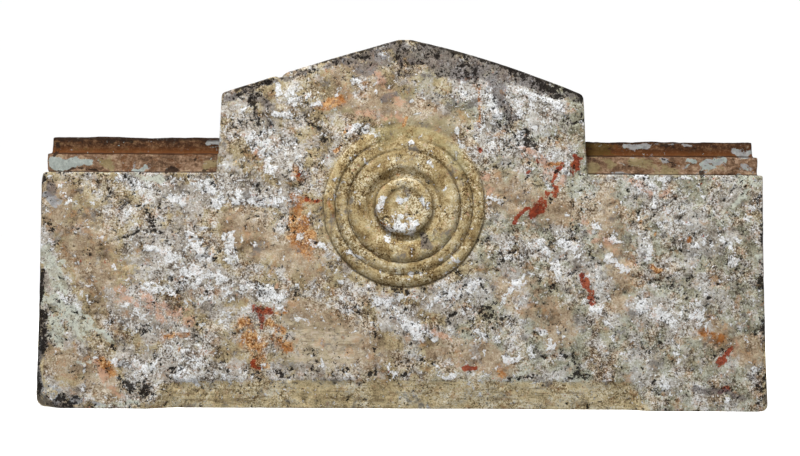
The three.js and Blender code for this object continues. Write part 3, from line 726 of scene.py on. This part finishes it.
class Graph:
    """Builds one material's nodes, with a plain call for each kind. Colours are given as on screen."""

    def __init__(self, name):
        self.material = bpy.data.materials.new(name)
        self.material.use_nodes = True
        self.nodes = self.material.node_tree.nodes
        self.links = self.material.node_tree.links
        self.shader = self.nodes["Principled BSDF"]
        self.place = self.nodes.new("ShaderNodeTexCoord").outputs["Object"]

    def put(self, socket, value):
        """Links an output to a socket, or sets the socket to a number, a vector or a colour."""
        if isinstance(value, bpy.types.NodeSocket):
            self.links.new(value, socket)
        else:
            socket.default_value = linear(*value) if isinstance(value, tuple) else value

    def node(self, kind, inputs, **settings):
        """Adds a node with its settings and inputs, and returns its outputs."""
        node = self.nodes.new("ShaderNode" + kind)
        for name, value in settings.items():
            setattr(node, name, value)
        for name, value in inputs.items():
            self.put(node.inputs[name], value)
        return node.outputs

    def attribute(self, name):
        return self.node("Attribute", {}, attribute_name=name)["Fac"]

    def axis(self, letter, vector=None):
        """The X, Y or Z part of a vector, or else of the place."""
        return self.node("SeparateXYZ", {0: vector or self.place})[letter]

    def stretched(self, *factors):
        """The object's own coordinates, multiplied along each axis."""
        return self.node("VectorMath", {0: self.place, 1: Vector(factors)}, operation="MULTIPLY")["Vector"]

    def noise(self, size, detail=4.0, rough=0.55, place=None, warp=0.0):
        """Noise from 0 to 1 whose patches are about size metres wide."""
        inputs = {"Vector": place or self.place, "Scale": 1 / size}
        inputs |= {"Detail": detail, "Roughness": rough, "Distortion": warp}
        return self.node("TexNoise", inputs)["Fac"]

    def spots(self, size):
        """Distance from scattered points, in shares of their spacing."""
        return self.node("TexVoronoi", {"Vector": self.place, "Scale": 1 / size})["Distance"]

    def math(self, operation, *terms):
        return self.node("Math", dict(enumerate(terms)), operation=operation)["Value"]

    def times(self, first, second):
        return self.math("MULTIPLY", first, second)

    def shifted(self, value, share, base):
        """A value times a share, on top of a base."""
        return self.math("MULTIPLY_ADD", value, share, base)

    def add(self, first, *others):
        for other in others:
            first = self.math("ADD", first, other)
        return first

    def most(self, first, *others):
        for other in others:
            first = self.math("MAXIMUM", first, other)
        return first

    def spread(self, *layers):
        """Sums layers of noise, each times its own strength, around one half."""
        total = 0.5 - sum(strength for _, strength in layers) / 2
        for layer, strength in layers:
            total = self.shifted(layer, strength, total)
        return total

    def steered(self, noise, **shares):
        """Noise raised or lowered by the masks with those names, each times its own share."""
        return self.add(noise, *(self.times(self.attribute(name), share) for name, share in shares.items()))

    def rise(self, value, low, high, bottom=0.0, top=1.0):
        """Rises smoothly from bottom to top as the value goes from low to high."""
        inputs = {"Value": value, "From Min": low, "From Max": high, "To Min": bottom, "To Max": top}
        return self.node("MapRange", inputs, interpolation_type="SMOOTHSTEP")["Result"]

    def mix(self, share, first, second):
        """Lays the second colour over the first by a share."""
        return self.node("Mix", {"Factor": share, 6: first, 7: second}, data_type="RGBA")[2]

    def stain(self, color, tint, noise, low, high, cover, **shares):
        """Lays a tint over a colour where steered noise is high, from none at low to its cover at high."""
        return self.mix(self.rise(self.steered(noise, **shares), low, high, 0, cover), color, tint)

    def ramp(self, value, colors, places=FIVE_TONES):
        """Turns a value into a colour between the colours at those places."""
        node = self.nodes.new("ShaderNodeValToRGB")
        self.put(node.inputs["Fac"], value)
        elements = node.color_ramp.elements
        while len(elements) < len(colors):
            elements.new(1.0)
        for element, place, color in zip(elements, places, colors):
            element.position = place
            element.color = linear(*color)
        return node.outputs["Color"]

    def finish(self, color, roughness, height, distance, strength):
        """Ends the material: its colour, its roughness, and fine relief up to a distance in metres."""
        relief = self.node("Bump", {"Height": height, "Distance": distance, "Strength": strength})["Normal"]
        ends = {"Base Color": color, "Roughness": roughness, "Normal": relief, "Specular IOR Level": 0.2}
        for name, value in ends.items():
            self.put(self.shader.inputs[name], value)
        return self.material


def fine_tones(g):
    """Noise for the grain of the stone: a patchy one, a grainy one and a fine one."""
    return g.noise(0.028, 6, 0.65), g.noise(0.009, 6, 0.75), g.noise(0.0028, 3, 0.8)


def crease_shade(g):
    """Painted shade: dark lines in the creases of the roundel, broken in places and fading where its top is
    worn.
    """
    across = g.math("SUBTRACT", g.axis("X"), ROUNDEL_X)
    upward = g.math("SUBTRACT", g.axis("Z"), ROUNDEL_Z)
    square = g.add(g.times(across, across), g.times(upward, upward))
    wander = g.shifted(g.noise(0.02, 3), 5.0, -2.5)
    radius = g.shifted(g.math("SQRT", square), 1 / MM, wander)
    total = 0.0
    for crease, inward, outward, share in CREASE_SHADES:
        before = g.rise(radius, crease - inward, crease, 0, share)
        after = g.rise(radius, crease, crease + outward, 1, 0)
        total = g.most(total, g.times(before, after))
    kept = g.rise(g.shifted(g.noise(0.03, 4), 0.08, upward), 0.06, 0.14, 1, 0.1)
    broken = g.rise(g.noise(0.014, 4, 0.7), 0.36, 0.5, 0.45, 1)
    return g.times(g.times(total, kept), broken)


def bare_colors(g, tone):
    """The stone itself: beige or greyish, tan where bare, khaki on the roundel, and on the chamfer its
    olive made paler as painted light for the light bounced up onto it.
    """
    beige, greyish, tan, khaki = (g.ramp(tone, colors) for colors in (BEIGE, GREYISH, TAN, KHAKI))
    rightward = g.rise(g.axis("X"), -0.15, 0.25, -0.3, 0.05)
    is_greyish = g.shifted(g.noise(0.06, 6, 0.7), 0.9, rightward)
    color = g.mix(g.rise(is_greyish, 0.3, 0.5), beige, greyish)
    color = g.stain(color, tan, g.noise(0.05, 7, 0.68), 0.48, 0.6, 1, bare=0.14, wash=-0.1)
    color = g.mix(g.attribute("roundel"), color, khaki)
    # Painted light: the chamfer takes the paler olive
    return g.mix(g.times(g.attribute("chamfer"), 0.85), color, g.ramp(tone, OLIVE_WITH_PAINTED_LIGHT, THREE_TONES))


def tool_marks(g, color):
    """Pale level scratches where the face was dressed again, and fainter ones along the chamfer."""
    tooled = g.attribute("tooled")
    drawn = g.noise(0.005, 5, 0.7, place=g.stretched(0.12, 1.0, 1.0))
    ground = g.times(tooled, g.rise(g.noise(0.02, 6, 0.7), 0.4, 0.56, 0.2, 0.85))
    color = g.mix(ground, color, (206, 193, 166))
    color = g.mix(g.times(g.rise(drawn, 0.53, 0.62, 0, 0.7), tooled), color, (216, 202, 184))
    dark = g.times(g.rise(drawn, 0.47, 0.38, 0, 0.55), g.most(tooled, g.attribute("chamfer")))
    return g.mix(dark, color, (112, 88, 60))


def limewash(g, color, tone, speck):
    """A thin greyish wash over the stone, and crisp thick flakes of limewash with painted shade along their
    edges.
    """
    veil = g.steered(g.noise(0.034, 9, 0.72), wash=0.15, bare=-0.1, roundel=-0.15, chamfer=-0.14)
    color = g.mix(g.rise(veil, 0.48, 0.56, 0, 0.8), color, g.ramp(tone, VEIL))
    flake = g.noise(0.013, 7, 0.64, warp=0.4)
    flake = g.steered(flake, lime=0.135, wash=0.04, roundel=-0.02, chamfer=-0.03, soot=-0.04)
    fleck = g.steered(g.noise(0.0056, 4, 0.7), wash=0.04, roundel=-0.07, bare=-0.02, lime=0.07)
    # Painted shade: a dark rim just outside each flake, for the shadow that its lifted edge casts
    rim = g.times(g.rise(flake, 0.588, 0.606), g.rise(g.noise(0.03, 5, 0.7), 0.48, 0.56, 0, 0.75))
    color = g.mix(rim, color, (70, 56, 44))
    cover = g.most(g.rise(flake, 0.612, 0.626, 0, 0.95), g.rise(fleck, 0.635, 0.65, 0, 0.88))
    white = g.ramp(g.spread((speck, 1.6), (tone, 0.5)), WHITE, (0.1, 0.4, 0.75))
    return g.mix(cover, color, white), flake, cover


def stains(g, color, tone, cover):
    """Warm and mossy stains, mint and pink paint, grey smears, rust and red."""
    patchy, fine = g.noise(0.014, 8, 0.74), g.noise(0.006, 5, 0.75)
    warm = g.steered(g.noise(0.02, 8, 0.74), rust=0.08, bare=0.02, roundel=-0.05)
    color = g.stain(color, (184, 136, 90), warm, 0.54, 0.66, 0.5)
    color = g.stain(color, (146, 138, 98), patchy, 0.52, 0.66, 0.55, moss=0.15)
    film = g.mix(fine, (128, 126, 104), (214, 216, 190))
    color = g.stain(color, film, g.noise(0.03, 8, 0.72), 0.6, 0.7, 0.5, mint=0.2)
    color = g.stain(color, (208, 212, 198), patchy, 0.61, 0.65, 0.8, mint=0.14)
    smear = g.mix(fine, (52, 52, 54), (214, 217, 220))
    color = g.stain(color, smear, g.noise(0.02, 8, 0.72), 0.66, 0.72, 0.85, grey=0.26)
    color = g.stain(color, (208, 160, 132), g.noise(0.016, 8, 0.76), 0.6, 0.68, 0.62, blush=0.14)
    rust = g.rise(g.steered(patchy, rust=0.2), 0.59, 0.72, 0, 0.95)
    color = g.mix(g.times(rust, g.shifted(cover, -0.8, 1.0)), color, g.ramp(tone, RUST, STAIN_TONES))
    red = g.ramp(tone, RED, STAIN_TONES)
    color = g.stain(color, red, g.noise(0.009, 7, 0.74), 0.63, 0.68, 0.95, red=0.25)
    return g.stain(color, (122, 78, 44), fine, 0.645, 0.68, 0.75, rust=0.06, dark=0.05)


def dirt(g, color):
    """Soot under the gable's edge and on its top, painted shade in the roundel's creases, and crisp black
    specks.
    """
    color = g.stain(color, (108, 101, 100), g.noise(0.03, 7, 0.72), 0.56, 0.68, 0.72, soot=0.2)
    soot = g.noise(0.012, 8, 0.76)
    color = g.stain(color, (40, 33, 27), soot, 0.60, 0.64, 0.92, soot=0.045, slope=0.137)
    # Painted shade darkens the roundel's creases and the groove round its boss
    color = g.mix(g.times(crease_shade(g), 0.95), color, (58, 43, 22))
    cluster = g.shifted(g.noise(0.045, 4, 0.6), 0.3, -0.15)
    specks = g.most(g.noise(0.0038, 3, 0.75), g.math("SUBTRACT", g.noise(0.0095, 5, 0.7), 0.01))
    specks = g.steered(specks, dirt=0.11, dark=0.10, soot=0.05, bare=-0.04, roundel=-0.06, chamfer=-0.02)
    specks = g.rise(g.add(specks, cluster), 0.625, 0.642, 0, 0.95)
    return g.mix(specks, color, (26, 20, 16)), specks


def limewashed_face():
    """The carved face: stone under broken old limewash, with stains, soot and dirt in its pits."""
    g = Graph("limewashed face")
    patch, grain, speck = fine_tones(g)
    busy = g.steered(g.noise(0.05, 5, 0.65), bare=-0.11, roundel=-0.02, tooled=-0.1)
    fine = g.math("SUBTRACT", g.spread((grain, 1.8), (speck, 2.4)), 0.5)
    broad = g.spread((g.noise(0.10, 4), 0.4), (patch, 1.2))
    tone = g.shifted(fine, g.rise(busy, 0.42, 0.58, 0.38, 1.3), broad)
    color = tool_marks(g, bare_colors(g, tone))
    color, flake, cover = limewash(g, color, tone, speck)
    color, specks = dirt(g, stains(g, color, tone, cover))
    height = g.add(g.times(flake, 0.5), g.times(grain, 0.6), g.times(cover, 0.25), g.times(specks, -0.4))
    return g.finish(color, g.rise(grain, 0.3, 0.7, 0.82, 0.96), height, 0.002, 0.8)


def course_stone():
    """The two courses: brown above and terracotta below, with rust stains, old paint and mortar, and
    painted shade: rust-brown at the upper one's foot, dark lines at both feet and a dark top edge.
    """
    g = Graph("course stone")
    drawn = g.stretched(1.0, 1.0, 2.2)
    patch, grain = g.noise(0.022, 7, 0.7, place=drawn), g.noise(0.007, 5, 0.75)
    tone = g.spread((patch, 1.6), (grain, 1.0), (g.noise(0.0036, 3, 0.8), 0.8))
    upper, lower = (g.ramp(tone, colors, COURSE_TONES) for colors in (BROWN, TERRACOTTA))
    height = g.shifted(g.noise(0.02), 0.005, g.math("SUBTRACT", g.axis("Z"), 0.0025))
    is_upper = g.rise(height, LOWER_TOP - MM, LOWER_TOP + MM)
    color = g.mix(is_upper, lower, upper)
    # Painted shade: rust-brown at the foot of the upper course, where it meets the lower
    upper_foot_shade = g.times(is_upper, g.rise(height, LOWER_TOP + 4 * MM, LOWER_TOP + 17 * MM, 1, 0))
    rusty = g.rise(g.steered(g.noise(0.02, 6, 0.7, place=drawn), rust=0.16), 0.54, 0.68, 0, 0.6)
    color = g.mix(g.most(g.times(upper_foot_shade, 0.75), rusty), color, (104, 60, 24))
    moss = g.mix(is_upper, (138, 126, 88), (76, 60, 20))
    color = g.stain(color, moss, patch, 0.56, 0.68, 0.7, moss=0.2)
    paint = g.mix(grain, (84, 92, 88), (206, 216, 210))
    flaking = g.noise(0.016, 7, 0.7, warp=0.4)
    color = g.stain(color, paint, flaking, 0.635, 0.655, 0.9, mint=0.28, grey=0.12)
    mortar = g.mix(grain, (70, 68, 66), (196, 196, 196))
    color = g.stain(color, mortar, g.noise(0.012, 7, 0.72), 0.62, 0.66, 0.85, grey=0.22, lime=0.24)

    # Painted shade: dark lines along the foot of each course
    low_foot_shade, high_foot_shade = (g.rise(height, z + MM, z + 4 * MM, 1, 0) for z in (FACE_HEIGHT, LOWER_TOP))
    line = g.most(low_foot_shade, g.times(is_upper, high_foot_shade))
    # Painted shade along the top edge of the upper course
    top = g.add(height, g.times(g.noise(0.03), 0.008))
    arris = g.rise(top, UPPER_TOP - MM, UPPER_TOP + 3 * MM, 0, 0.8)
    dark = g.rise(g.steered(g.noise(0.010, 6, 0.75), dark=0.26), 0.63, 0.67, 0, 0.9)
    color = g.mix(g.most(dark, g.times(line, 0.85), arris), color, (38, 25, 16))
    rough, _ = rough_color(g)
    behind = behind_face(g, 2 * COURSE_SETBACK + 6 * MM, 2 * COURSE_SETBACK + 18 * MM)
    relief = g.add(g.times(patch, 0.5), g.times(grain, 0.6))
    return g.finish(g.mix(behind, color, rough), 0.88, relief, 0.0022, 0.9)


def behind_face(g, low, high):
    """Rises from 0 to 1 between two depths behind the face, along a ragged line."""
    ragged = g.shifted(g.noise(0.02, 6, 0.7), 0.04, g.math("SUBTRACT", g.axis("Y"), 0.02))
    return g.rise(ragged, FACE_Y + low, FACE_Y + high)


def rough_color(g):
    """Pecked stone with old mortar, a grey film and lichen on its tops, and the height of its pecks."""
    patch, grain, speck = fine_tones(g)
    tone = g.spread((g.noise(0.12, 5), 0.7), (patch, 1.3), (grain, 1.3), (speck, 1.4))
    color = g.stain(g.ramp(tone, PECKED), (138, 104, 70), g.noise(0.05, 8, 0.7), 0.52, 0.66, 0.6)
    pecks = g.rise(g.spots(0.011), 0.08, 0.5)
    color = g.mix(g.rise(pecks, 0.0, 0.4, 0.45, 0), color, (84, 66, 48))
    mortar = g.rise(g.noise(0.055, 9, 0.66, warp=0.4), 0.585, 0.6)
    mortar_tone = g.ramp(g.spread((grain, 1.4), (speck, 1.4)), MORTAR, (0.2, 0.8))
    color = g.mix(g.times(mortar, 0.9), color, mortar_tone)

    upward = g.rise(g.axis("Z", g.node("NewGeometry", {})["Normal"]), 0.45, 0.8)
    film = g.times(upward, g.rise(g.noise(0.03, 8, 0.72), 0.36, 0.56, 0.1, 0.75))
    color = g.mix(film, color, g.mix(grain, (38, 34, 28), (136, 128, 112)))
    patches = g.shifted(g.noise(0.012, 6, 0.7), -0.9, g.add(g.spots(0.045), 0.45))
    lichen = g.times(g.rise(patches, 0.19, 0.24, 0.85, 0), g.rise(upward, 0, 1, 0.25, 1))
    color = g.mix(lichen, color, (186, 186, 164))
    color = g.stain(color, (44, 36, 28), g.noise(0.0042, 4, 0.75), 0.63, 0.66, 0.85)
    height = g.add(g.times(patch, 1.2), g.times(grain, 0.7), g.times(pecks, 0.5), g.times(mortar, 0.35))
    return color, height


def rough_stone():
    """The ends, the tops and the back, with the face's crust running a little way over the arris."""
    g = Graph("rough stone")
    patch, grain, speck = fine_tones(g)
    tone = g.spread((patch, 1.2), (grain, 1.8), (speck, 2.4))
    crust, _, _ = limewash(g, bare_colors(g, tone), tone, speck)
    color, height = rough_color(g)
    return g.finish(g.mix(behind_face(g, 8 * MM, 14 * MM), crust, color), 0.92, height, 0.004, 1.0)


def glow(name, color, strength):
    """A material that shines evenly."""
    material = bpy.data.materials.new(name)
    material.use_nodes = True
    inputs = material.node_tree.nodes["Principled BSDF"].inputs
    inputs["Base Color"].default_value = (*color, 1)
    inputs["Roughness"].default_value = 0.9
    inputs["Emission Color"].default_value = (1, 1, 1, 1)
    inputs["Emission Strength"].default_value = strength
    return material


def add_stage():
    """A pale floor under a pale backdrop, a soft sky and studio lights from above the camera."""
    pale = glow("pale floor", (0.9, 0.9, 0.9), 0.72)
    white = glow("white backdrop", (0, 0, 0), 1.0)
    shape = bmesh.new()
    bmesh.ops.create_grid(shape, x_segments=1, y_segments=1, size=40)
    dome = bmesh.new()
    bmesh.ops.create_uvsphere(dome, u_segments=32, v_segments=16, radius=38)
    for name, form, material in (("floor", shape, pale), ("backdrop", dome, white)):
        mesh = bpy.data.meshes.new(name)
        form.to_mesh(mesh)
        form.free()
        mesh.materials.append(material)
        stage = bpy.data.objects.new(name, mesh)
        stage.location.z = LOW.z
        stage.visible_diffuse = False
        stage.visible_glossy = False
        stage.visible_shadow = False
        bpy.context.scene.collection.objects.link(stage)

    world = bpy.data.worlds.new("soft sky")
    world.use_nodes = True
    sky = world.node_tree.nodes["Background"].inputs
    sky["Color"].default_value = (1, 1, 1, 1)
    sky["Strength"].default_value = 0.36
    bpy.context.scene.world = world

    for name, place, size, power in (
        ("high key", (-0.5, -1.8, 3.0), 0.8, 118.0),
        ("low fill", (1.6, -2.6, 0.9), 1.8, 8.0),
        ("back fill", (0.7, 3.0, 2.3), 1.6, 62.0),
    ):
        light = bpy.data.lights.new(name, "AREA")
        light.size = size
        light.energy = power
        lamp = bpy.data.objects.new(name, light)
        lamp.location = place
        aim = Vector((0, FACE_Y, 0.3)) - Vector(place)
        lamp.rotation_euler = aim.to_track_quat("-Z", "Y").to_euler()
        bpy.context.scene.collection.objects.link(lamp)


def add_camera():
    """The photograph's view: square on to the face, level, and turned a quarter of a degree."""
    distance, aside, height = 2.6, -0.0032, 0.2963
    metres_per_pixel = 0.001629
    picture_width = 800
    turn = -0.0050
    data = bpy.data.cameras.new("camera")
    data.sensor_width = 36.0
    data.lens = data.sensor_width * distance / (picture_width * metres_per_pixel)
    camera = bpy.data.objects.new("camera", data)
    camera.location = (aside, FACE_Y - distance, height)
    camera.rotation_euler = (math.pi / 2, turn, 0)
    bpy.context.scene.collection.objects.link(camera)
    bpy.context.scene.camera = camera


add_camera()
add_stage()
bpy.context.scene.view_settings.view_transform = "Standard"

hood = build_stone((limewashed_face(), course_stone(), rough_stone()))
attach(hood, "root")
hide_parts(NODE)
